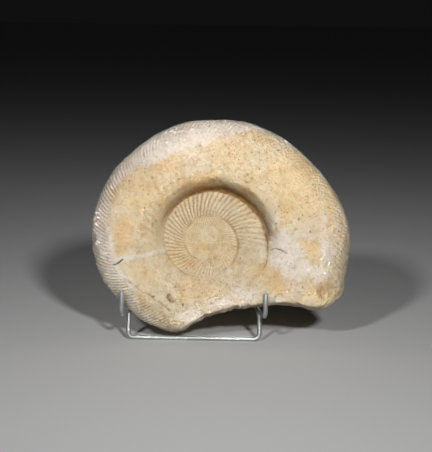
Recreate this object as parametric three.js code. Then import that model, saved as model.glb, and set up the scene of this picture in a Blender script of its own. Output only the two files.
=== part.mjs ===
// Ammonite fossil resting on a bent-wire display stand.
// Millimetres, +Z up, the face of the fossil towards -Y. The origin is on the surface
// the stand stands on, under the middle of the whole object.
import * as THREE from "three";

const { clamp, degToRad, lerp, smoothstep } = THREE.MathUtils;

// Coil of the shell. Bearings are degrees clockwise from straight up, seen from the front.
const seamStartRadius = 22.8;    // spiral seam between the whorls, at bearing 0
const seamGrowthPerTurn = 1.966; // how much wider the coil is after each turn
const lastWhorlFade = [78, 112]; // bearings over which the last whorl sinks into the filling
const seamRingMove = [112, 165]; // and the rings of facets move in to the turn before

// Outline of the stone as [bearing, radius]: the worn outer edge, then the broken lower edge.
const outlinePoints = [
  [0, 106.6], [20, 110.3], [40, 112.7], [60, 117.2], [75, 122.3], [90, 126], [98, 125.4],
  [105, 124.8], [111, 126.8], [114.5, 124.8], [119.5, 118.5], [123, 109], [125.5, 97],
  [131, 84.3], [139, 74.5], [150, 67], [160, 62.8], [170, 62.8], [180, 65.6], [190, 73.8],
  [196, 81], [201, 84.5], [210, 86.2], [220, 88.8], [230, 89.8], [240, 92.4], [252, 97],
  [265, 99], [285, 101.2], [300, 102], [320, 102], [340, 105],
];

// Thickness of the stone, measured from its middle plane to one flank.
const flankThin = 17.5;          // where the outer whorl starts, at the bottom
const flankThick = 25;           // where it ends, at the right
const flankThinBearing = 150;
const flankThickBearing = 98;
const backShare = 0.94;          // the hidden flank is a little flatter

// Outer edge: a round back on the worn stretch, a square fracture along the bottom.
const roundEdgeWidth = 27;
const roundEdgePower = 2.1;
const brokenEdgeWidth = 6;
const brokenEdgePower = 5;
const breakStarts = [112, 130];  // bearings over which the fracture begins, and ends
const breakEnds = [184, 216];

// Hollow of the coil, in shares of the radius of the seam or the height of the whorl.
const seamDepthShare = 0.12;
const innerCrownShare = 0.2;
const filledCrownShare = 0.06;
const wallWidth = 11;            // steep wall above the seam, at the top and right
const wallPower = 2.4;
const filledWallWidth = 36;      // gentler where the hollow is filled, at the bottom
const filledWallPower = 1.5;
const fillStarts = [78, 112];    // bearings over which the filling begins, and ends
const fillEnds = [230, 320];
const hollowTilt = 0.1;          // floor of the hollow comes forward towards the bottom
const centreRadius = 9;          // inside this the whorls are worn flat

// How the stone sits, from the middle of the stand at the height of the floor.
const leanBack = 12.5;
const rollLeft = 1.2;
const turnRight = 1.3;           // so that the back of the stone meets both uprights
const coilCentre = new THREE.Vector3(9.7, 7.1, 84.3);

// Facets of the stone.
const stoneColumns = 104;
const stoneRings = 32;
const hollowRings = 7;           // from the centre to the last turn of the seam
const flankRings = 6;            // from there to where the edge turns over
const flankRingCrowding = 1.7;   // rings lie closer together on the wall above the seam

// Stand of one wire size. Half spans are from the middle of the stand.
const wireRadius = 2;
const wireSides = 12;
const bendSteps = 5;
const weldGap = 0.3;
const hookHalfSpan = 61.7;
const hookY = -25;
const hookTipHeight = 45;
const hookBend = 6;
const ledgeHeight = 24;
const ledgeHalfSpan = 56.9;      // where the front foot is welded under it
const uprightGap = 21.5;         // from the middle plane of the stone to the uprights
const uprightReach = 32;         // of the top bar, above the coil centre
const uprightBend = 9;
const footY = -10;
const footBend = 5;
const postEndDrop = 3.35;        // post ends below the middle of the ledge
const legHalfSpan = 9;
const legFootY = 128;
const legBend = 5;

const leanAngle = degToRad(leanBack);
const uprightAxis = new THREE.Vector3(0, Math.sin(leanAngle), Math.cos(leanAngle));
const stoneFacing = new THREE.Vector3(0, -Math.cos(leanAngle), Math.sin(leanAngle));

// Radius of the outline at each bearing, along a smooth line through the outline points.
function outlineRadius(bearing) {
  const count = outlinePoints.length;
  let next = outlinePoints.findIndex(([end]) => end > bearing);
  if (next < 0) next = count;
  const at = (i) => outlinePoints[(i + count) % count][1];
  const from = outlinePoints[next - 1][0];
  const to = next < count ? outlinePoints[next][0] : 360 + outlinePoints[0][0];
  const t = (bearing - from) / (to - from);
  const [a, b, c, d] = [at(next - 2), at(next - 1), at(next), at(next + 1)];
  const bend = (2 * a - 5 * b + 4 * c - d) * t + (3 * b - 3 * c + d - a) * t * t;
  return b + 0.5 * t * (c - a + bend);
}

// From 0 to 1 and back again over two ranges of bearings.
function between(bearing, starts, ends) {
  return smoothstep(bearing, ...starts) * (1 - smoothstep(bearing, ...ends));
}

// Half thickness of the outer whorl: it grows round the coil and falls away past its end.
function flankHeight(bearing) {
  if (bearing > flankThickBearing && bearing < flankThinBearing) {
    return lerp(flankThick, flankThin, smoothstep(bearing, flankThickBearing, flankThinBearing));
  }
  const grown = (bearing - flankThinBearing + 360) % 360;
  return lerp(flankThin, flankThick, grown / (flankThickBearing - flankThinBearing + 360));
}

function seamRadius(bearing, turn) {
  return seamStartRadius * seamGrowthPerTurn ** (bearing / 360 + turn);
}

// Height of one flank when the given turn of the seam is the last one.
function whorlHeight(radius, bearing, lastTurn) {
  const seam = seamRadius(bearing, lastTurn);
  const tilt = -hollowTilt * Math.cos(degToRad(bearing));
  const filled = between(bearing, fillStarts, fillEnds);
  if (radius >= seam) {
    const wall = clamp((radius - seam) / lerp(wallWidth, filledWallWidth, filled), 0, 1);
    const rise = 1 - (1 - wall) ** lerp(wallPower, filledWallPower, filled);
    return lerp((seamDepthShare + tilt) * seam, flankHeight(bearing), rise);
  }
  const reach = Math.max(radius, centreRadius);
  const turns = Math.log(reach / seamStartRadius) / Math.log(seamGrowthPerTurn) - bearing / 360;
  const inner = seamRadius(bearing, Math.floor(turns));
  const across = (reach - inner) / (inner * (seamGrowthPerTurn - 1));
  const crown = lerp(innerCrownShare, filledCrownShare, filled) * inner * 4 * across * (1 - across);
  const worn = smoothstep(radius, centreRadius, 2 * centreRadius);
  return seamDepthShare * reach + crown * worn + tilt * radius;
}

// Height of one flank above the middle plane, inside the round or broken edge.
function coilHeight(radius, bearing) {
  const faded = smoothstep(bearing, ...lastWhorlFade);
  if (faded === 1) return whorlHeight(radius, bearing, 0);
  return lerp(whorlHeight(radius, bearing, 1), whorlHeight(radius, bearing, 0), faded);
}

// Radius of a ring on a flank: inside the last turn of the seam, then out to the shoulder.
function ringRadius(ring, bearing, shoulder) {
  const moved = smoothstep(bearing, ...seamRingMove);
  const lastSeam = lerp(seamRadius(bearing, 1), seamRadius(bearing, 0), moved);
  if (ring <= hollowRings) return lastSeam * ring / hollowRings;
  return lerp(lastSeam, shoulder, ((ring - hollowRings) / flankRings) ** flankRingCrowding);
}

// Point of the stone's surface. Rings run from the front centre over the edge to the back.
function stonePoint(bearing, ring) {
  const outer = outlineRadius(bearing);
  const broken = between(bearing, breakStarts, breakEnds);
  const shoulder = outer - lerp(roundEdgeWidth, brokenEdgeWidth, broken);
  const sideRings = hollowRings + flankRings;
  const onFront = ring < stoneRings / 2;
  const fromCentre = Math.min(ring, stoneRings - ring);
  const side = onFront ? 1 : -backShare;
  let radius = ringRadius(Math.min(fromCentre, sideRings), bearing, shoulder);
  let height = side * coilHeight(radius, bearing);
  if (fromCentre > sideRings) {
    const turn = Math.PI / 2 * (fromCentre - sideRings) / (stoneRings / 2 - sideRings);
    const power = 2 / lerp(roundEdgePower, brokenEdgePower, broken);
    radius = lerp(shoulder, outer, Math.sin(turn) ** power);
    height *= Math.max(0, Math.cos(turn)) ** power;
  }
  const angle = degToRad(bearing);
  return new THREE.Vector3(radius * Math.sin(angle), radius * Math.cos(angle), height);
}

function buildAmmonite() {
  const geometry = new THREE.SphereGeometry(1, stoneColumns, stoneRings);
  const position = geometry.attributes.position;
  const uv = geometry.attributes.uv;
  for (let i = 0; i < position.count; i += 1) {
    const onPole = i <= stoneColumns || i >= position.count - stoneColumns - 1;
    const bearing = onPole ? 0 : 360 * ((1 - uv.getX(i)) % 1);
    const point = stonePoint(bearing, Math.round((1 - uv.getY(i)) * stoneRings));
    if (onPole) point.setX(0).setY(0);
    position.setXYZ(i, point.x, point.y, point.z);
  }
  geometry.computeVertexNormals();
  const stone = new THREE.MeshStandardMaterial({ color: 0xd8c6a4, roughness: 0.85, metalness: 0 });
  const mesh = new THREE.Mesh(geometry, stone);
  mesh.name = "ammonite";
  mesh.rotation.set(Math.PI / 2 - leanAngle, degToRad(turnRight), degToRad(rollLeft));
  mesh.position.copy(coilCentre);
  return mesh;
}

// Middle line of a wire: straight runs between corners that are rounded to a bend radius.
class BentLine extends THREE.Curve {
  constructor(corners, bends) {
    super();
    this.points = [corners[0]];
    for (let i = 1; i < corners.length - 1; i += 1) {
      this.addBend(corners[i - 1], corners[i], corners[i + 1], bends[i - 1]);
    }
    this.points.push(corners[corners.length - 1]);
  }

  addBend(before, corner, after, bend) {
    const back = before.clone().sub(corner).normalize();
    const ahead = after.clone().sub(corner).normalize();
    const half = back.angleTo(ahead) / 2;
    const setBack = bend / Math.tan(half);
    const inward = back.clone().add(ahead).normalize();
    const centre = corner.clone().addScaledVector(inward, bend / Math.sin(half));
    const start = corner.clone().addScaledVector(back, setBack).sub(centre);
    const axis = back.clone().cross(ahead).normalize();
    for (let step = 0; step <= bendSteps; step += 1) {
      const turn = -(Math.PI - 2 * half) * step / bendSteps;
      this.points.push(start.clone().applyAxisAngle(axis, turn).add(centre));
    }
  }

  getPoint(t, target = new THREE.Vector3()) {
    const place = t * (this.points.length - 1);
    const i = Math.min(Math.floor(place), this.points.length - 2);
    return target.lerpVectors(this.points[i], this.points[i + 1], place - i);
  }

  getUtoTmapping(u) {
    return u;
  }
}

// Wire along a line, turned so that one facet faces straight down halfway along it.
function buildWire(name, line) {
  const steps = line.points.length - 1;
  const frames = line.computeFrenetFrames(steps, false);
  const middle = Math.floor(steps / 2);
  const down = Math.atan2(-frames.binormals[middle].z, -frames.normals[middle].z);
  const corner = wireRadius / Math.cos(Math.PI / wireSides);
  const section = new THREE.Shape();
  for (let i = 0; i < wireSides; i += 1) {
    const angle = down + 2 * Math.PI * (i + 0.5) / wireSides;
    const [x, y] = [corner * Math.cos(angle), corner * Math.sin(angle)];
    if (i === 0) section.moveTo(x, y);
    else section.lineTo(x, y);
  }
  const geometry = new THREE.ExtrudeGeometry(section, { steps, extrudePath: line, bevelEnabled: false });
  const metal = new THREE.MeshStandardMaterial({ color: 0x9a9a98, roughness: 0.25, metalness: 1 });
  const mesh = new THREE.Mesh(geometry, metal);
  mesh.name = name;
  return mesh;
}

// Point on the plane of the uprights, at a height along the stone from the coil centre.
function uprightPoint(x, along) {
  const point = new THREE.Vector3(0, coilCentre.y, coilCentre.z);
  point.addScaledVector(uprightAxis, along).addScaledVector(stoneFacing, -uprightGap);
  return point.setX(x);
}

// Foot of the uprights, where the ledges end.
function uprightFoot() {
  const along = (ledgeHeight - uprightPoint(0, 0).z) / uprightAxis.z;
  const y = uprightPoint(0, along).y;
  const toeIn = (hookHalfSpan - ledgeHalfSpan) / -hookY;
  return new THREE.Vector3(ledgeHalfSpan - toeIn * y, y, ledgeHeight);
}

const mirrored = (point) => new THREE.Vector3(-point.x, point.y, point.z);

// One length of wire: left hook, ledge and upright, the top bar, and the same down the right.
function buildCradle() {
  const foot = uprightFoot();
  const right = [
    uprightPoint(foot.x, uprightReach),
    foot,
    new THREE.Vector3(hookHalfSpan, hookY, ledgeHeight),
    new THREE.Vector3(hookHalfSpan, hookY, hookTipHeight),
  ];
  const left = right.map(mirrored).reverse();
  const bends = [hookBend, uprightBend, uprightBend, uprightBend, uprightBend, hookBend];
  return buildWire("cradle_wire", new BentLine([...left, ...right], bends));
}

// U of wire under the ledges: two posts that splay forward to a bar on the floor.
function buildFrontFoot() {
  const right = [
    new THREE.Vector3(ledgeHalfSpan, footY, wireRadius),
    new THREE.Vector3(ledgeHalfSpan, 0, ledgeHeight - postEndDrop),
  ];
  const left = right.map(mirrored).reverse();
  return buildWire("front_foot", new BentLine([...left, ...right], [footBend, footBend]));
}

// Hairpin from the top bar down to the floor behind the stone.
function buildRearLeg() {
  const foot = new THREE.Vector3(legHalfSpan, legFootY, wireRadius);
  const top = uprightPoint(legHalfSpan, uprightReach);
  const down = foot.clone().sub(top).normalize();
  top.addScaledVector(down, wireRadius / Math.cos(Math.PI / wireSides) + weldGap);
  const left = [mirrored(top), mirrored(foot)];
  return buildWire("rear_leg", new BentLine([...left, foot, top], [legBend, legBend]));
}

function buildObject() {
  const group = new THREE.Group();
  group.name = "ammonite_on_stand";
  group.add(buildAmmonite(), buildCradle(), buildFrontFoot(), buildRearLeg());
  group.updateMatrixWorld(true);
  const box = new THREE.Box3().setFromObject(group, true);
  const middle = box.getCenter(new THREE.Vector3());
  group.position.set(-middle.x, -middle.y, -box.min.z);
  group.updateMatrixWorld(true);
  return group;
}

export default buildObject();
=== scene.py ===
import bmesh
import bpy
import functools
import math
from mathutils import Matrix, Vector


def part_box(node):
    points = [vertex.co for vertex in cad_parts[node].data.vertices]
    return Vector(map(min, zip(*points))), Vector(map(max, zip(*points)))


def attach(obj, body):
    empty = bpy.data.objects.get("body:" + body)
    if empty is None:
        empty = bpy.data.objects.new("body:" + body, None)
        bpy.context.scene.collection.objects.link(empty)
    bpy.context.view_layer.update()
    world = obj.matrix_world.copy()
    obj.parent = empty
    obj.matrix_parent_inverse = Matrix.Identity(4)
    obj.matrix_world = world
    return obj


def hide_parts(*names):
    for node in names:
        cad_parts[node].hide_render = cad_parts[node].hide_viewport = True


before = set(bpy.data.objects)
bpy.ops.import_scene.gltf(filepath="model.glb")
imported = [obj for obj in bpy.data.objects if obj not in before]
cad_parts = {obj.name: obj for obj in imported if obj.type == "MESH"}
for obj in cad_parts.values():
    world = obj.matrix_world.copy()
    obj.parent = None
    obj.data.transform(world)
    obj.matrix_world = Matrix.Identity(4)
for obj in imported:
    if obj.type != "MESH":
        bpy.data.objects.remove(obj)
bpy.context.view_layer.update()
print("frame loaded:", ", ".join(sorted(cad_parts)))

mm = 0.001
wireRadius = 2.0

# the stand is even about its middle, and its origin is under the front welds
footLow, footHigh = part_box("front_foot")
footForward = 10.0
standOrigin = Vector(((footLow.x + footHigh.x) / 2, footLow.y + (footForward + wireRadius) * mm, 0))


# a value in a node tree, so that sums of math nodes read like sums
class Field:
    def __init__(self, socket):
        self.socket = socket

    def __add__(self, other): return mathNode("ADD", self, other)
    def __radd__(self, other): return mathNode("ADD", other, self)
    def __sub__(self, other): return mathNode("SUBTRACT", self, other)
    def __rsub__(self, other): return mathNode("SUBTRACT", other, self)
    def __mul__(self, other): return mathNode("MULTIPLY", self, other)
    def __rmul__(self, other): return mathNode("MULTIPLY", other, self)
    def __truediv__(self, other): return mathNode("DIVIDE", self, other)
    def __rtruediv__(self, other): return mathNode("DIVIDE", other, self)
    def __pow__(self, other): return mathNode("POWER", self, other)
    def __gt__(self, other): return mathNode("GREATER_THAN", self, other)
    def __lt__(self, other): return mathNode("LESS_THAN", self, other)


def feed(socket, value):
    if isinstance(value, Field):
        socket.id_data.links.new(value.socket, socket)
    else:
        socket.default_value = value


def addNode(tree, kind, **settings):
    node = tree.nodes.new(kind)
    count = len(tree.nodes)
    node.location = (count % 30 * 190, count // 30 * -260)  # rows of thirty
    for name, value in settings.items():
        setattr(node, name, value)
    return node


def treeOf(*values):
    return next(v.socket.id_data for v in values if isinstance(v, Field))


def mathNode(operation, *values):
    node = addNode(treeOf(*values), "ShaderNodeMath", operation=operation)
    for socket, value in zip(node.inputs, values):
        feed(socket, value)
    return Field(node.outputs[0])


def sine(x): return mathNode("SINE", x)
def cosine(x): return mathNode("COSINE", x)
def larger(a, b): return mathNode("MAXIMUM", a, b)
def smaller(a, b): return mathNode("MINIMUM", a, b)
def clamped(x): return smaller(larger(x, 0.0), 1.0)
def mixed(a, b, share): return a + share * (b - a)


def smooth(x, low, high):
    node = addNode(treeOf(x), "ShaderNodeMapRange", interpolation_type="SMOOTHSTEP")
    for name, value in (("Value", x), ("From Min", low), ("From Max", high)):
        feed(node.inputs[name], value)
    return Field(node.outputs[0])


def vector(x, y, z):
    node = addNode(treeOf(x, y, z), "ShaderNodeCombineXYZ")
    for socket, value in zip(node.inputs, (x, y, z)):
        feed(socket, value)
    return Field(node.outputs[0])


def vectorMath(operation, a, b=None, scale=None):
    node = addNode(treeOf(a, b), "ShaderNodeVectorMath", operation=operation)
    feed(node.inputs[0], a)
    if b is not None:
        feed(node.inputs[1], b)
    if scale is not None:
        feed(node.inputs["Scale"], scale)
    return Field(node.outputs["Value" if operation in ("DISTANCE", "LENGTH") else "Vector"])


# noise about zero, from -1 to 1 at most
def noise(place, size, seed, detail=2.0, roughness=0.5):
    node = addNode(treeOf(place), "ShaderNodeTexNoise", noise_dimensions="4D")
    values = {"Vector": place, "W": seed, "Scale": 1 / size, "Detail": detail, "Roughness": roughness}
    for name, value in values.items():
        feed(node.inputs[name], value)
    return Field(node.outputs[0]) * 2.0 - 1.0


# a smooth line through (bearing, value) pairs
def byBearing(turn, pairs):
    node = addNode(treeOf(turn), "ShaderNodeFloatCurve")
    top = max(value for _, value in pairs) * 1.05
    line = node.mapping.curves[0]
    ends = [(0.0, pairs[0][1] / top), (1.0, pairs[0][1] / top)]
    for point, place in zip(line.points, ends):
        point.location = place
    for bearing, value in pairs[1:]:
        line.points.new(bearing / 360, value / top)
    for point in line.points:
        point.handle_type = "AUTO_CLAMPED"
    node.mapping.update()
    feed(node.inputs["Value"], turn)
    return Field(node.outputs[0]) * top


def newTree(name, sizes, hasPath=False):
    tree = bpy.data.node_groups.new(name, "GeometryNodeTree")
    tree.interface.new_socket("Geometry", in_out="OUTPUT", socket_type="NodeSocketGeometry")
    if hasPath:
        tree.interface.new_socket("Path", in_out="INPUT", socket_type="NodeSocketGeometry")
    for title, value in sizes.items():
        kind = "NodeSocketInt" if isinstance(value, int) else "NodeSocketFloat"
        tree.interface.new_socket(title, in_out="INPUT", socket_type=kind).default_value = value
    start = addNode(tree, "NodeGroupInput")
    return tree, {title: Field(start.outputs[title]) for title in sizes}


# a small tree of its own, for sums that are used many times
def makeGroup(name, titles, body):
    group = bpy.data.node_groups.new(name, "GeometryNodeTree")
    for title in titles:
        group.interface.new_socket(title, in_out="INPUT", socket_type="NodeSocketFloat")
    group.interface.new_socket("Result", in_out="OUTPUT", socket_type="NodeSocketFloat")
    start = addNode(group, "NodeGroupInput")
    end = addNode(group, "NodeGroupOutput")
    feed(end.inputs[0], body(*(Field(start.outputs[title]) for title in titles)))

    def use(*values):
        node = addNode(treeOf(*values), "GeometryNodeGroup", node_tree=group)
        for socket, value in zip(node.inputs, values):
            feed(socket, value)
        return Field(node.outputs[0])
    return use


def finishTree(tree, geometry, material):
    realize = addNode(tree, "GeometryNodeRealizeInstances")
    paint = addNode(tree, "GeometryNodeSetMaterial")
    paint.inputs["Material"].default_value = material
    end = addNode(tree, "NodeGroupOutput")
    tree.links.new(geometry, realize.inputs[0])
    tree.links.new(realize.outputs[0], paint.inputs[0])
    tree.links.new(paint.outputs[0], end.inputs[0])


# runs a tree on an object and keeps the result as a plain mesh at the origin
def growPiece(name, tree, sizes, keepShare=1.0, base=None):
    base = base or bpy.data.meshes.new(name + " base")
    worker = bpy.data.objects.new(name + " worker", base)
    bpy.context.scene.collection.objects.link(worker)
    modifier = worker.modifiers.new(name, "NODES")
    modifier.node_group = tree
    for item in tree.interface.items_tree:
        if item.in_out == "INPUT" and item.name in sizes:
            modifier[item.identifier] = sizes[item.name]
    if keepShare < 1:
        thin = worker.modifiers.new("thin", "DECIMATE")
        thin.ratio = keepShare
    evaluated = worker.evaluated_get(bpy.context.evaluated_depsgraph_get())
    mesh = bpy.data.meshes.new_from_object(evaluated)
    mesh.name = name
    bpy.data.objects.remove(worker)
    return mesh


def tidyMesh(mesh, distance):
    work = bmesh.new()
    work.from_mesh(mesh)
    bmesh.ops.remove_doubles(work, verts=work.verts, dist=distance)
    bmesh.ops.dissolve_degenerate(work, edges=work.edges, dist=distance / 10)
    loose = [v for v in work.verts if not v.link_faces]
    bmesh.ops.delete(work, geom=loose, context="VERTS")
    bmesh.ops.recalc_face_normals(work, faces=work.faces)
    work.to_mesh(mesh)
    work.free()
    mesh.shade_smooth()


litFromBehind = bpy.data.collections.new("litFromBehind")


def addPiece(mesh, slot, *nodes):
    piece = bpy.data.objects.new(mesh.name, mesh)
    bpy.context.scene.collection.objects.link(piece)
    litFromBehind.objects.link(piece)
    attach(piece, "root")
    for node in nodes:
        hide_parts(node)
    print(f"{mesh.name}: {sum(len(p.vertices) - 2 for p in mesh.polygons)} triangles")


# limestone

def newMaterial(name):
    material = bpy.data.materials.new(name)
    material.use_nodes = True
    tree = material.node_tree
    return material, tree, tree.nodes["Principled BSDF"]


def attribute(tree, name, output="Fac"):
    return Field(addNode(tree, "ShaderNodeAttribute", attribute_name=name).outputs[output])


def mixColour(a, b, share):
    node = addNode(treeOf(a, b, share), "ShaderNodeMix", data_type="RGBA")
    feed(node.inputs[0], share)
    for socket, value in ((node.inputs[6], a), (node.inputs[7], b)):
        feed(socket, value if isinstance(value, Field) else (*value, 1.0))
    return Field(node.outputs[2])


def voronoi(place, size, seed):
    node = addNode(treeOf(place), "ShaderNodeTexVoronoi", voronoi_dimensions="4D")
    feed(node.inputs["Vector"], place)
    feed(node.inputs["W"], float(seed))
    feed(node.inputs["Scale"], 1 / size)
    split = addNode(treeOf(place), "ShaderNodeSeparateColor")
    treeOf(place).links.new(node.outputs["Color"], split.inputs[0])
    return Field(node.outputs["Distance"]), Field(split.outputs[0])


stoneLook = {
    "cream": (0.45, 0.38, 0.258),
    "paleCream": (0.515, 0.46, 0.345),
    "ochre": (0.485, 0.345, 0.165),
    "orange": (0.40, 0.19, 0.05),
    "filling": (0.51, 0.475, 0.425),
    # hollow: painted shade with dirt in the low places
    "hollow": (0.30, 0.20, 0.10),
    "seamShadeAndStain": (0.17, 0.085, 0.022),
    "ribGapShade": (0.22, 0.14, 0.07),
    "crestHighlightAndWear": (0.62, 0.515, 0.35),
    "fracture": (0.34, 0.28, 0.21),
    "speck": (0.17, 0.105, 0.05),
    "crack": (0.03, 0.022, 0.015),
    "speckSize": 3.3,
    "roughness": 0.88,
    "bumpHeight": 0.9,
}


def buildLimestone(look):
    material, tree, shader = newMaterial("limestone")
    place = attribute(tree, "stonePlace", "Vector")
    filling = attribute(tree, "filling")
    ochre = attribute(tree, "ochre")
    hollow = attribute(tree, "hollow")
    seam = attribute(tree, "seam")
    gapShade = attribute(tree, "ribGapShadeMask")
    crestHighlightAndWear = attribute(tree, "ribCrestHighlightAndWear")
    pit = attribute(tree, "pit")
    crack = attribute(tree, "crack")
    fracture = attribute(tree, "fracture")
    coarse = noise(place, 10.0, 1, 4.0, 0.65)
    middle = noise(place, 3.2, 2, 3.0, 0.65)
    fine = noise(place, 1.8, 3, 3.0, 0.7)

    isFilling = smooth(filling + coarse * 0.45 + middle * 0.35 - hollow * 0.15, 0.0, 1.0)
    stain = smooth(ochre + coarse * 0.6 + middle * 0.4 + hollow * 0.3, -0.1, 1.2)
    pale = smooth(coarse + middle * 0.5 + fine * 0.9, -0.5, 0.6)
    colour = mixColour(look["cream"], look["paleCream"], pale)
    colour = mixColour(colour, look["ochre"], stain * 0.75)
    colour = mixColour(colour, look["orange"], smooth(ochre + middle * 0.5, 1.0, 1.8) * 0.7)
    colour = mixColour(colour, look["filling"], isFilling * 0.82)
    # painted shade in the low places of the worn relief, with dirt in them
    hollowShadeAndDirt = clamped(hollow * (0.5 + middle * 0.5) * (1 - isFilling * 0.35))
    colour = mixColour(colour, look["hollow"], hollowShadeAndDirt)
    colour = mixColour(colour, look["fracture"], clamped(fracture * (0.6 + middle * 0.5)))
    # painted shade between the ribs
    colour = mixColour(colour, look["ribGapShade"], clamped(gapShade * (1 - isFilling * 0.25)))
    # painted highlight on the inner rib crests, with paler worn stone
    colour = mixColour(colour, look["crestHighlightAndWear"], clamped(crestHighlightAndWear * (0.7 + fine * 0.8)))
    # painted shade and brown stain along the seam and up its wall
    colour = mixColour(colour, look["seamShadeAndStain"], clamped(seam * (1 + middle * 0.5)))

    # small dark pits, more of them where the stone is stained
    bent = vectorMath("ADD", place, vectorMath("SCALE", vector(middle, fine, coarse), scale=1.6))
    distance, chance = voronoi(bent, look["speckSize"], 4)
    rare = smooth(chance + stain * 0.12 + hollow * 0.25 - isFilling * 0.12, 0.62, 1.0)
    specks = smooth(distance + fine * 0.25, 0.38, 0.08) * rare
    smallDistance, smallChance = voronoi(bent, look["speckSize"] * 0.5, 5)
    rareSmall = smooth(smallChance + stain * 0.1, 0.45, 0.9)
    smallSpecks = smooth(smallDistance + fine * 0.2, 0.5, 0.1) * rareSmall
    # the round pit, chipped hollow and fold line get painted shade here, darkest on the pit's deep
    # lower-left side
    dark = clamped(specks * 0.6 + smallSpecks * 0.45 + pit * 0.8 - fine * 0.55 - middle * 0.3 - 0.05)
    colour = mixColour(colour, look["speck"], dark)
    colour = mixColour(colour, look["crack"], crack)
    feed(shader.inputs["Base Color"], colour)
    feed(shader.inputs["Roughness"], look["roughness"] + fine * 0.06)
    feed(shader.inputs["Specular IOR Level"], 0.0)

    height = fine * 0.9 + middle * 0.7 - specks * 1.3 - smallSpecks * 0.8
    bump = addNode(tree, "ShaderNodeBump")
    feed(bump.inputs["Strength"], 1.0)
    feed(bump.inputs["Distance"], look["bumpHeight"] * mm)
    feed(bump.inputs["Height"], height * (1 - isFilling * 0.1))
    feed(shader.inputs["Normal"], Field(bump.outputs[0]))
    return material


# the fossil: a spiral shell worked out ring by ring, sizes in millimetres

stoneSizes = {
    "Columns": 840,
    "Rings": 330,
    "Seed": 0,
    "Seam Radius": 22.8,
    "Growth Per Turn": 1.966,
    "Flank Thin": 17.5,
    "Flank Thick": 25.0,
    "Back Share": 0.94,
    "Round Edge": 27.0,
    "Broken Edge": 6.0,
    "Wall Width": 11.0,
    "Filled Wall Width": 36.0,
    "Rib Count": 176,
    "Rib Depth": 1.7,
    "Inner Rib Count": 58,
    "Inner Rib Depth": 1.9,
    "Wear": 1.0,
}
stonePlacing = {"lean": 12.5, "roll": 1.2, "turn": 1.3, "coilCentre": (9.7, 7.1, 84.3)}
flankRibCount = 54
stoneKeepShare = 0.34  # of the triangles, so that flat places carry fewer

# radius of the outline by bearing, clockwise from the top: worn edge, then broken edge
stoneOutline = [
    (0, 106.6), (20, 110.3), (40, 112.7), (60, 117.2), (75, 122.3), (90, 126), (98, 125.4),
    (105, 124.8), (111, 126.8), (114.5, 124.8), (119.5, 118.5), (123, 109), (125.5, 97),
    (131, 84.3), (139, 74.5), (150, 67), (160, 62.8), (170, 62.8), (180, 65.6), (190, 73.8),
    (196, 81), (201, 84.5), (210, 86.2), (220, 88.8), (230, 89.8), (240, 92.4), (252, 97),
    (265, 99), (285, 101.2), (300, 102), (320, 102), (340, 105),
]
ribStrength = [(0, 0.45), (40, 0.35), (75, 0.3), (105, 0.2), (125, 0.0), (190, 0.05), (205, 0.6),
               (222, 1.0), (290, 1.0), (312, 0.8), (335, 0.55)]
innerRibStrength = [(0, 1.0), (45, 0.8), (80, 0.6), (140, 0.4), (200, 0.45), (245, 0.9), (285, 1.1),
                    (340, 1.1)]
seamShadeStrength = [(0, 1.0), (40, 0.9), (80, 0.6), (105, 0.15), (200, 0.08), (270, 0.2), (310, 0.5)]
innerSeamStrength = [(0, 1.0), (100, 0.9), (135, 0.45), (170, 0.2), (200, 0.45), (230, 0.8), (262, 0.55),
                     (280, 0.35), (305, 0.65), (330, 0.95)]
crustWidth = [(0, 23), (14, 14), (28, 5), (60, 2), (100, 0.5), (190, 1), (212, 3), (232, 14), (245, 19),
              (268, 18), (285, 13), (305, 13), (322, 19), (340, 25)]

# white filling and ochre stain on the face: x, y, half width, half height, strength
fillingPatches = [
    (64, -2, 9, 9, 1.0), (67, -17, 13, 11, 1.0), (72, -31, 13, 9, 1.0), (87, -29, 17, 8, 1.0),
    (104, -8, 6, 14, 0.9), (103, 17, 3.5, 11, 0.7), (96, -30, 9, 12, 0.8), (34, -48, 14, 9, 1.0),
    (-14, -67, 15, 7, 0.9), (9, -56, 14, 6, 0.8), (57, -50, 12, 5, 0.8), (12, -27, 12, 5, 0.45),
    (58, 22, 5, 13, 0.6), (12, 26, 16, 5, 0.4), (-30, -40, 9, 8, 0.4), (84, 3, 14, 5, 0.5),
]
ochrePatches = [
    (76, 57, 30, 22, 0.75), (68, 32, 18, 18, 0.85), (88, 36, 14, 24, 0.7), (62, -37, 12, 8, 1.2),
    (50, -27, 14, 9, 0.8), (-26, -11, 9, 13, 1.1), (-19, -22, 10, 7, 1.45), (-57, 42, 24, 20, 0.7),
    (-71, 4, 9, 16, 1.1), (19, 76, 19, 17, 0.6), (-37, 63, 16, 12, 0.8), (-10, -42, 24, 12, 0.7),
    (1, 0, 36, 34, 0.5), (2, -3, 12, 11, 1.1), (89, -9.5, 12, 10, 0.95), (101, -44, 15, 11, 0.95),
    (106, 30, 9, 26, 0.7),
    (-48, 12, 18, 20, 0.5), (-52, -28, 18, 14, 0.55), (45, 88, 18, 12, 0.6), (-20, 44, 20, 14, 0.5),
    (36, 48, 16, 16, 0.55), (38, 20, 10, 16, 0.4), (-56, -52, 9, 8, 0.7), (-4, 50, 24, 7, 1.1),
    (34, 38, 10, 12, 0.8), (-34, 32, 8, 12, 0.9),
]
# marks on the face, as lines from one place to another
repairVein = [(-77, -17.5), (-58, -14), (-37, -8)]
brokenCrack = [(-80.6, -21.6), (-76.5, -20.3), (-74.2, -18.5), (-71.8, -16.9)]
fineCrack = [(55.5, -8.2), (60, -7.6), (64, -9.6), (69, -12.4)]
foldLine = [(-71.4, -32.5), (-60, -41.6), (-43.3, -52.2), (-31.2, -60.4)]
roundPit = (-29.6, -48.6, 5.0)
chippedHollow = (103, -45, 10.0)


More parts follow.
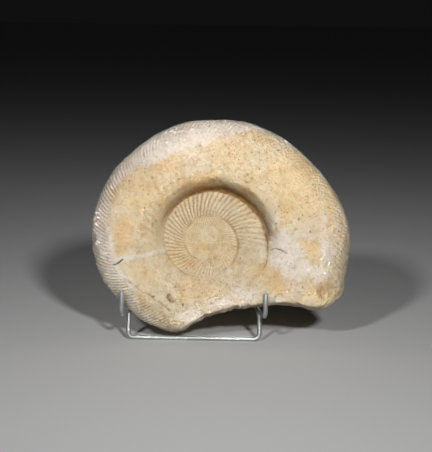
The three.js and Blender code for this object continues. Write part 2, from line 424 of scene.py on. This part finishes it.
def segmentAway(x, y, startX, startY, endX, endY):
    dx, dy = endX - startX, endY - startY
    along = clamped(((x - startX) * dx + (y - startY) * dy) / (dx * dx + dy * dy))
    return vectorMath("LENGTH", vector(x - startX - along * dx, y - startY - along * dy, 0.0))


def patchSpot(x, y, centreX, centreY, halfWidth, halfHeight, strength):
    away = vectorMath("LENGTH", vector((x - centreX) / halfWidth, (y - centreY) / halfHeight, 0.0))
    return smooth(away, 1.5, 0.35) * strength


segmentGroup = makeGroup("segmentAway", ["X", "Y", "Start X", "Start Y", "End X", "End Y"], segmentAway)
patchTitles = ["X", "Y", "Centre X", "Centre Y", "Half Width", "Half Height", "Strength"]
patchGroup = makeGroup("patchSpot", patchTitles, patchSpot)


def lineDistance(x, y, points):
    parts = [segmentGroup(x, y, *start, *end) for start, end in zip(points, points[1:])]
    return functools.reduce(smaller, parts)


def patchField(x, y, patches):
    return functools.reduce(larger, [patchGroup(x, y, *patch) for patch in patches])


def between(bearing, start, startEnd, end, endEnd):
    return smooth(bearing, start, startEnd) * (1 - smooth(bearing, end, endEnd))


def buildStoneTree(sizes, material):
    tree, given = newTree("ammoniteShape", sizes)
    grid = addNode(tree, "GeometryNodeMeshGrid")
    grid.inputs["Size X"].default_value = 1
    grid.inputs["Size Y"].default_value = 1
    feed(grid.inputs["Vertices X"], given["Columns"] + 1)
    feed(grid.inputs["Vertices Y"], given["Rings"] + 1)
    split = addNode(tree, "ShaderNodeSeparateXYZ")
    tree.links.new(grid.outputs["UV Map"], split.inputs[0])
    turn, ring = Field(split.outputs[0]), Field(split.outputs[1])
    bearing = turn * 360.0
    angle = turn * (2 * math.pi)
    seed = given["Seed"]

    # rings run from the front centre over the edge to the back centre
    frontShare, hollowShare, flankShare = 0.66, 0.36, 0.33
    onBack = ring > frontShare
    fromCentre = smaller(ring / frontShare, (1 - ring) / (1 - frontShare))
    hollowPart = clamped(fromCentre / hollowShare)
    flankPart = clamped((fromCentre - hollowShare) / flankShare)
    edgePart = clamped((fromCentre - hollowShare - flankShare) / (1 - hollowShare - flankShare))

    broken = between(bearing, 112, 130, 184, 216)
    outer = byBearing(turn, stoneOutline)
    ragged = noise(vector(sine(angle) * 80.0, cosine(angle) * 80.0, 0.0), 9.0, seed + 11, 5.0, 0.65)
    outer = outer - broken * (ragged * 2.4 - 0.4) - ragged * 0.6
    shoulder = outer - mixed(given["Round Edge"], given["Broken Edge"], broken)

    def seamRadius(turns):
        return given["Seam Radius"] * given["Growth Per Turn"] ** (turn + turns)

    moved = smooth(bearing, 112, 165)
    lastSeam = mixed(seamRadius(1.0), seamRadius(0.0), moved)
    radius = lastSeam * hollowPart + (shoulder - lastSeam) * flankPart ** 1.35
    power = 2 / mixed(2.1, 5.0, broken)
    edgeTurn = edgePart * (math.pi / 2)
    outward = radius + (outer - shoulder) * sine(edgeTurn) ** power
    edgeDrop = larger(cosine(edgeTurn), 0.0) ** power

    # half thickness of the last whorl: it grows round the coil and falls away past its end
    grown = mathNode("FLOORED_MODULO", bearing - 150.0, 360.0) / 308.0
    fallen = smooth(bearing, 98, 150) * (bearing < 150.0)
    growing = mixed(given["Flank Thin"], given["Flank Thick"], smaller(grown, 1.0))
    flank = mixed(growing, given["Flank Thin"], fallen)
    tilt = cosine(angle) * -0.1
    filled = between(bearing, 78, 112, 230, 320)

    def whorlHeight(turns):
        seam = seamRadius(turns)
        wall = clamped((radius - seam) / mixed(given["Wall Width"], given["Filled Wall Width"], filled))
        rise = 1 - larger(1 - wall, 0.0) ** mixed(2.4, 1.5, filled)
        onLast = mixed((tilt + 0.12) * seam, flank, rise)
        reach = larger(radius, 4.0)
        turnsIn = mathNode("LOGARITHM", reach / given["Seam Radius"], given["Growth Per Turn"]) - turn
        inner = seamRadius(mathNode("FLOOR", turnsIn))
        across = (reach - inner) / (inner * (given["Growth Per Turn"] - 1))
        crown = mixed(0.2, 0.07, filled) * inner * 4 * across * (1 - across)
        inHollow = reach * 0.12 + crown * smooth(radius, 6, 16) + tilt * radius
        return mixed(inHollow, onLast, radius > seam), across, turnsIn

    heightLast, across, turnsIn = whorlHeight(1.0)
    heightBefore, _, _ = whorlHeight(0.0)
    faded = smooth(bearing, 78, 112)
    height = mixed(heightLast, heightBefore, faded) * edgeDrop
    height = height * mixed(1.0, given["Back Share"] * -1, onBack)
    x, y = outward * sine(angle), outward * cosine(angle)
    place = vector(x, y, height)

    # ribs over the outer edge, swept forward, and on the whorl before
    onFace = 1 - onBack
    patchy = noise(place, 22.0, seed + 12, 2.0)
    sweep = edgePart * 11.0
    ribWave = 0.5 + 0.5 * cosine((bearing - sweep) * given["Rib Count"] * (math.pi / 180) + patchy * 0.8)
    ribZone = smooth(edgePart, 0.2, 0.42) * byBearing(turn, ribStrength)
    ribZone = ribZone * clamped(0.75 + patchy * 1.4)
    edgeGap = ribWave ** 1.6 * ribZone
    lastTurn = bearing < 95.0
    inOuterWhorl = between(turnsIn - lastTurn, -1.02, -0.9, -0.09, -0.01)
    inNextWhorl = between(turnsIn - lastTurn, -2.0, -1.85, -1.15, -1.03) * 0.6
    inInner = (inOuterWhorl + inNextWhorl) * (radius < lastSeam)
    uneven = noise(place, 7.0, seed + 29, 2.0)
    innerTurn = (bearing - across * 9.0) * given["Inner Rib Count"] * (math.pi / 180) + uneven * 1.8
    innerWave = 0.5 + 0.5 * cosine(innerTurn)
    innerRibs = inInner * byBearing(turn, innerRibStrength) * clamped(0.75 + patchy * 0.6 + uneven * 0.5)
    innerGap = innerWave ** 1.1 * innerRibs
    innerCrest = (1 - innerWave) ** 1.1 * innerRibs
    flankWave = cosine((bearing - flankPart * 8.0) * (flankRibCount * math.pi / 180) + patchy * 2.0)
    flankRibs = flankWave * between(flankPart, 0.15, 0.4, 0.6, 1.0) * between(bearing, 255, 285, 330, 358)

    # filling, stain and single marks; the face only, the back gets patches by chance
    warpX = x + noise(place, 20.0, seed + 13, 5.0, 0.6) * 14.0
    warpY = y + noise(place, 20.0, seed + 14, 5.0, 0.6) * 14.0
    fromEdge = outer - outward
    crustEdge = byBearing(turn, crustWidth) - fromEdge + noise(place, 13.0, seed + 15, 5.0, 0.6) * 9.0
    crust = smooth(crustEdge, -3.0, 3.0)
    vein = smooth(lineDistance(x, y + noise(place, 6.0, seed + 16, 3.0) * 1.6, repairVein), 3.2, 0.6)
    faceFilling = larger(patchField(warpX, warpY, fillingPatches), larger(crust, vein))
    backFilling = smooth(noise(place, 34.0, seed + 17, 3.0), 0.05, 0.35) * 0.9
    filling = mixed(faceFilling, backFilling, onBack * (1 - edgePart))
    faceOchre = patchField(warpX, warpY, ochrePatches)
    backOchre = smooth(noise(place, 30.0, seed + 18, 3.0), -0.2, 0.4) * 0.9
    ochre = mixed(faceOchre, backOchre, onBack * (1 - edgePart))

    crackAway = lineDistance(x, y + noise(place, 2.5, seed + 27) * 0.6, brokenCrack)
    crackLine = smooth(crackAway, 0.75, 0.25) * onFace
    hairAway = lineDistance(x, y + noise(place, 2.0, seed + 19) * 0.5, fineCrack)
    hairLine = smooth(hairAway, 0.55, 0.15) * onFace
    foldWave = noise(place, 9.0, seed + 20, 4.0) * 2.2
    fold = smooth(lineDistance(x + foldWave, y + foldWave, foldLine), 1.5, 0.3) * onFace
    fold = fold * clamped(0.75 + noise(place, 14.0, seed + 28) * 1.2)
    foldSide = (x + foldWave + 71.4) * -0.57 - (y + foldWave + 32.5) * 0.82
    pitX, pitY, pitRadius = roundPit
    pitAway = vectorMath("LENGTH", vector(x - pitX, y - pitY, 0.0)) / pitRadius
    pitDeep = clamped(0.55 - ((x - pitX) * 1.2 + (y - pitY) * 0.6) * (0.5 / pitRadius))
    pit = smooth(pitAway, 1.0, 0.7) * pitDeep * onFace
    chipX, chipY, chipRadius = chippedHollow
    chipAway = vectorMath("LENGTH", vector(x - chipX, y - chipY, 0.0)) / chipRadius
    chip = smooth(chipAway + noise(place, 8.0, seed + 21, 4.0, 0.65) * 1.3, 1.1, 0.2) * onFace

    # seam shade, painted into the colour together with a brown stain: deepest in the seam, fading up the
    # wall, strongest at the top and right
    seamAway = radius - lastSeam
    wallShade = smooth(seamAway, 4.5, 0.5) * 0.75 + smooth(seamAway, 11.0, 3.0) * 0.35
    wallShade = wallShade * smooth(seamAway, -1.8, 0.0) * byBearing(turn, seamShadeStrength)
    # the inner seam is darkened with painted shade too, by bearing, and is also cut in as a groove
    innerAway = mathNode("PINGPONG", turnsIn, 0.5)
    innerSide = byBearing(turn, innerSeamStrength) * clamped(0.75 + uneven * 0.9)
    innerSeam = smooth(innerAway, 0.07, 0.0) * (radius < lastSeam) * smooth(radius, 9, 18) * innerSide
    seam = clamped(wallShade * 0.9 + innerSeam * 0.85) * (1 - edgePart)

    # wear is mostly cut into the surface, so that the shape stays inside its outline
    smoothed = 1 - filling * 0.1
    broad = noise(place, 26.0, seed + 22, 2.0) * 1.1 - 0.15
    lumps = noise(place, 8.0, seed + 23, 3.0, 0.55) * 1.2 * smoothed - 0.1
    grain = noise(place, 2.8, seed + 24, 3.0, 0.6) * 1.0 * smoothed - 0.1
    grain = grain + inInner * noise(place, 2.2, seed + 30, 3.0, 0.6) * 1.2
    grain = grain + crust * noise(place, 2.4, seed + 33, 3.0, 0.6) * 0.7
    fracture = broken * smooth(edgePart, 0.25, 0.6)
    rough = fracture * (noise(place, 6.0, seed + 25, 4.0, 0.65) * 2.4 - 0.3)
    centreWear = smooth(radius, 24, 10) * (noise(place, 4.5, seed + 26, 3.0, 0.6) * 1.3 - 0.3)
    belowFold = smooth(foldSide, 0.0, 1.5) * between(bearing, 203, 212, 238, 250) * onFace * (1 - edgePart)
    cut = broad + lumps + grain + rough + centreWear + flankRibs * 0.65
    cut = cut * given["Wear"] - edgeGap * given["Rib Depth"] - innerGap * given["Inner Rib Depth"]
    cut = cut - pit * 5.0 - chip * 2.2 - crackLine * 2.2 - hairLine * 0.8 - fold * 1.0 - belowFold * 1.2
    cut = cut - innerSeam * 0.8 + smaller(filling, 1.0) * 0.5 * (1 - onBack * (1 - edgePart)) - 0.25

    shape = addNode(tree, "GeometryNodeSetPosition")
    tree.links.new(grid.outputs["Mesh"], shape.inputs["Geometry"])
    feed(shape.inputs["Position"], place)
    geometry = shape.outputs[0]
    # low places of the worn relief, more near the centre; the colour darkens them with painted shade and
    # dirt
    hollow = smooth(lumps + grain + flankRibs * 0.25 - smooth(radius, 16, 6) * 0.3, 0.15, -1.0)
    keep = {
        "stonePlace": place,
        "filling": filling,
        "ochre": ochre,
        "seam": seam,
        "hollow": hollow,
        "fracture": fracture,
        # painted shade between the ribs
        "ribGapShadeMask": clamped(edgeGap * 1.05 + innerGap * 0.8),
        # painted highlight on the inner rib crests, with paler worn stone
        "ribCrestHighlightAndWear": clamped(innerCrest),
        # painted shade in the round pit, chipped hollow and fold line
        "pit": clamped(pit * 1.2 + chip * 0.35 + fold * 0.65),
        "crack": clamped(crackLine + hairLine * 0.8),
    }
    for name, value in keep.items():
        kind = "FLOAT_VECTOR" if name == "stonePlace" else "FLOAT"
        store = addNode(tree, "GeometryNodeStoreNamedAttribute", data_type=kind, domain="POINT")
        store.inputs["Name"].default_value = name
        feed(store.inputs["Value"], value)
        tree.links.new(geometry, store.inputs["Geometry"])
        geometry = store.outputs[0]
    carve = addNode(tree, "GeometryNodeSetPosition")
    normal = Field(addNode(tree, "GeometryNodeInputNormal").outputs[0])
    feed(carve.inputs["Offset"], vectorMath("SCALE", normal, scale=cut))
    tree.links.new(geometry, carve.inputs["Geometry"])
    merge = addNode(tree, "GeometryNodeMergeByDistance")
    merge.inputs["Distance"].default_value = 0.03
    tree.links.new(carve.outputs[0], merge.inputs["Geometry"])
    finishTree(tree, merge.outputs[0], material)
    return tree


limestone = buildLimestone(stoneLook)
stoneMesh = growPiece("ammoniteStone", buildStoneTree(stoneSizes, limestone), stoneSizes, stoneKeepShare)
lean, roll, turn = (math.radians(stonePlacing[name]) for name in ("lean", "roll", "turn"))
coilCentre = standOrigin + Vector(stonePlacing["coilCentre"]) * mm
stoneTurn = Matrix.Rotation(math.pi / 2 - lean, 4, "X")
stoneTurn = stoneTurn @ Matrix.Rotation(turn, 4, "Y") @ Matrix.Rotation(roll, 4, "Z")
stoneMesh.transform(Matrix.Translation(coilCentre) @ stoneTurn @ Matrix.Scale(mm, 4))
tidyMesh(stoneMesh, 0.00002)
addPiece(stoneMesh, "limestone", "ammonite")


# stand of plated wire

wireLook = {"colour": (0.30, 0.31, 0.30), "metallic": 0.6, "roughness": 0.42, "blotchSize": 14.0}


def buildPlating(look):
    material, tree, shader = newMaterial("plating")
    coordinates = addNode(tree, "ShaderNodeTexCoord")
    place = vectorMath("SCALE", Field(coordinates.outputs["Object"]), scale=1 / mm)
    cloudy = noise(place, look["blotchSize"], 31, 3.0)
    grain = noise(place, 0.7, 32, 2.0)
    feed(shader.inputs["Base Color"], (*look["colour"], 1.0))
    feed(shader.inputs["Metallic"], look["metallic"])
    feed(shader.inputs["Roughness"], look["roughness"] + cloudy * 0.05 + grain * 0.03)
    return material


stand = {
    "hookHalfSpan": 61.7,
    "hookForward": 25.0,
    "hookTip": 45.0,
    "hookBend": 6.0,
    "ledgeHeight": 24.0,
    "ledgeHalfSpan": 56.9,
    "uprightGap": 21.5,
    "uprightReach": 32.0,
    "uprightBend": 9.0,
    "footBend": 5.0,
    "postTop": 22.6,
    "legHalfSpan": 9.0,
    "legBack": 128.0,
    "legBend": 5.0,
    "weldOverlap": 0.6,
}
wireSizes = {"Wire Radius": wireRadius, "Bend Points": 14, "Round Sides": 28}


def uprightPoint(x, along):
    centre = Vector(stonePlacing["coilCentre"])
    up = Vector((0, math.sin(lean), math.cos(lean)))
    facing = Vector((0, -math.cos(lean), math.sin(lean)))
    point = centre + up * along - facing * stand["uprightGap"]
    return Vector((x, point.y, point.z))


def mirrored(point):
    return Vector((-point.x, point.y, point.z))


# a wire through corner points, each with its own bend; free ends are rounded off
def buildWireTree(sizes, material):
    tree, given = newTree("bentWire", sizes, hasPath=True)
    path = next(n for n in tree.nodes if n.type == "GROUP_INPUT").outputs["Path"]
    toCurve = addNode(tree, "GeometryNodeMeshToCurve")
    tree.links.new(path, toCurve.inputs[0])
    bend = addNode(tree, "GeometryNodeInputNamedAttribute", data_type="FLOAT")
    bend.inputs["Name"].default_value = "bend"
    fillet = addNode(tree, "GeometryNodeFilletCurve", mode="POLY")
    feed(fillet.inputs["Count"], given["Bend Points"])
    feed(fillet.inputs["Radius"], Field(bend.outputs[0]))
    tree.links.new(toCurve.outputs[0], fillet.inputs[0])
    thick = addNode(tree, "GeometryNodeInputNamedAttribute", data_type="FLOAT")
    thick.inputs["Name"].default_value = "thick"
    circle = addNode(tree, "GeometryNodeCurvePrimitiveCircle")
    feed(circle.inputs["Resolution"], given["Round Sides"])
    feed(circle.inputs["Radius"], given["Wire Radius"])
    setRadius = addNode(tree, "GeometryNodeSetCurveRadius")
    tree.links.new(fillet.outputs[0], setRadius.inputs[0])
    feed(setRadius.inputs["Radius"], Field(thick.outputs[0]))
    sweep = addNode(tree, "GeometryNodeCurveToMesh")
    sweep.inputs["Fill Caps"].default_value = True
    feed(sweep.inputs["Scale"], Field(thick.outputs[0]))
    tree.links.new(setRadius.outputs[0], sweep.inputs["Curve"])
    tree.links.new(circle.outputs[0], sweep.inputs["Profile Curve"])
    finishTree(tree, sweep.outputs[0], material)
    return tree


# width of the wire near its ends, as (distance from the end, share of the full width)
roundTip = [(0.0, 0.05)]
roundTip += [(wireRadius * (1 - math.cos(a)), math.sin(a)) for a in (0.35, 0.7, 1.1, math.pi / 2)]
weldFlare = [(0.0, 1.32), (0.9, 1.28), (1.8, 1.1), (3.0, 1.0)]


def wirePath(corners, bends, ending):
    def endPoints(tip, inner):
        inward = (inner - tip).normalized()
        return [(tip + inward * back, 0.0, width) for back, width in ending]

    rows = endPoints(corners[0], corners[1])
    rows += [(corner, bend, 1.0) for corner, bend in zip(corners[1:-1], bends)]
    rows += reversed(endPoints(corners[-1], corners[-2]))
    points, radii, thick = zip(*rows)
    mesh = bpy.data.meshes.new("path")
    mesh.from_pydata([tuple(p) for p in points], [(i, i + 1) for i in range(len(points) - 1)], [])
    for name, values in (("bend", radii), ("thick", thick)):
        mesh.attributes.new(name, "FLOAT", "POINT").data.foreach_set("value", values)
    return mesh


def buildWire(name, node, corners, bends, ending):
    mesh = growPiece(name, wireTree, wireSizes, base=wirePath(corners, bends, ending))
    mesh.transform(Matrix.Translation(standOrigin) @ Matrix.Scale(mm, 4))
    tidyMesh(mesh, 0.000002)
    addPiece(mesh, "stand_wire", node)


plating = buildPlating(wireLook)
wireTree = buildWireTree(wireSizes, plating)
footAlong = (stand["ledgeHeight"] - uprightPoint(0, 0).z) / math.cos(lean)
footY = uprightPoint(0, footAlong).y
toeIn = (stand["hookHalfSpan"] - stand["ledgeHalfSpan"]) / stand["hookForward"]
uprightX = stand["ledgeHalfSpan"] - toeIn * footY
right = [
    uprightPoint(uprightX, stand["uprightReach"]),
    Vector((uprightX, footY, stand["ledgeHeight"])),
    Vector((stand["hookHalfSpan"], -stand["hookForward"], stand["ledgeHeight"])),
    Vector((stand["hookHalfSpan"], -stand["hookForward"], stand["hookTip"])),
]
left = [mirrored(p) for p in reversed(right)]
bends = [stand["hookBend"], *[stand["uprightBend"]] * 4, stand["hookBend"]]
buildWire("cradleWire", "cradle_wire", left + right, bends, roundTip)

right = [
    Vector((stand["ledgeHalfSpan"], -footForward, wireRadius)),
    Vector((stand["ledgeHalfSpan"], 0, stand["postTop"])),
]
left = [mirrored(p) for p in reversed(right)]
buildWire("frontFoot", "front_foot", left + right, [stand["footBend"]] * 2, weldFlare)

legFoot = Vector((stand["legHalfSpan"], stand["legBack"], wireRadius))
legTop = uprightPoint(stand["legHalfSpan"], stand["uprightReach"])
legTop += (legFoot - legTop).normalized() * (wireRadius - stand["weldOverlap"])
legCorners = [mirrored(legTop), mirrored(legFoot), legFoot, legTop]
buildWire("rearLeg", "rear_leg", legCorners, [stand["legBend"]] * 2, weldFlare)


# stage: pale floor, soft light, camera

stage = {
    "floorColour": (0.8, 0.8, 0.8),
    "floorHalfSide": 40.0,
    "worldColour": (0.005, 0.005, 0.005),
    "aim": (17.9, 0.0, 99.0),
    "distance": 1500.0,
    "elevation": 7.0,
    "azimuth": 1.0,
    "roll": 0.8,
    "lens": 138.0,
}
floorMesh = bpy.data.meshes.new("floor")
side = stage["floorHalfSide"]
corners = [(-side, -side, 0), (side, -side, 0), (side, side, 0), (-side, side, 0)]
floorMesh.from_pydata(corners, [], [(0, 1, 2, 3)])
floor = bpy.data.objects.new("floor", floorMesh)
bpy.context.scene.collection.objects.link(floor)
floorPaint, _, floorShader = newMaterial("paleFloor")
floorShader.inputs["Base Color"].default_value = (*stage["floorColour"], 1.0)
floorShader.inputs["Roughness"].default_value = 0.75
floorMesh.materials.append(floorPaint)

world = bpy.data.worlds.new("studio")
world.use_nodes = True
world.node_tree.nodes["Background"].inputs["Color"].default_value = (*stage["worldColour"], 1.0)
bpy.context.scene.world = world


def directionTo(azimuth, elevation):
    turned, raised = math.radians(azimuth), math.radians(elevation)
    level = math.cos(raised)
    return Vector((math.sin(turned) * level, -math.cos(turned) * level, math.sin(raised)))


# all lamps stand round the object and are aimed over it, so that the floor in front stays even
lampPlacing = {"around": (18.8, 0.0, 110.0), "distance": 1.6, "aimedOver": 0.16}
lamps = {
    "leftLamp": {"azimuth": -16, "elevation": 22, "size": 0.12, "watts": 1.45, "spread": 64},
    "rightLamp": {"azimuth": 12, "elevation": 19, "size": 0.12, "watts": 2.34, "spread": 64},
    "backLamp": {"azimuth": 176, "elevation": 14, "size": 0.5, "watts": 3.2, "spread": 120},
}


def addLamp(name, light):
    away = directionTo(light["azimuth"], light["elevation"]) * lampPlacing["distance"]
    data = bpy.data.lights.new(name, "AREA")
    data.shape = "DISK"
    data.size = light["size"]
    data.energy = light["watts"]
    data.spread = math.radians(light["spread"])
    lamp = bpy.data.objects.new(name, data)
    lamp.location = standOrigin + Vector(lampPlacing["around"]) * mm + away
    upwards = Vector((0, 0, lampPlacing["aimedOver"]))
    lamp.rotation_euler = (upwards - away).to_track_quat("-Z", "Y").to_euler()
    bpy.context.scene.collection.objects.link(lamp)
    return lamp


placed = {name: addLamp(name, light) for name, light in lamps.items()}
# the lamp behind is for the object alone, so that its back isn't lost in the dark
placed["backLamp"].light_linking.receiver_collection = litFromBehind

aim = standOrigin + Vector(stage["aim"]) * mm
away = directionTo(stage["azimuth"], stage["elevation"])
cameraData = bpy.data.cameras.new("camera")
cameraData.lens = stage["lens"]
cameraData.clip_end = 50
camera = bpy.data.objects.new("camera", cameraData)
camera.matrix_world = (
    Matrix.Translation(aim + away * stage["distance"] * mm)
    @ (-away).to_track_quat("-Z", "Y").to_matrix().to_4x4()
    @ Matrix.Rotation(math.radians(stage["roll"]), 4, "Z")
)
bpy.context.scene.collection.objects.link(camera)
bpy.context.scene.camera = camera
bpy.context.scene.view_settings.view_transform = "Standard"
print("stage set")
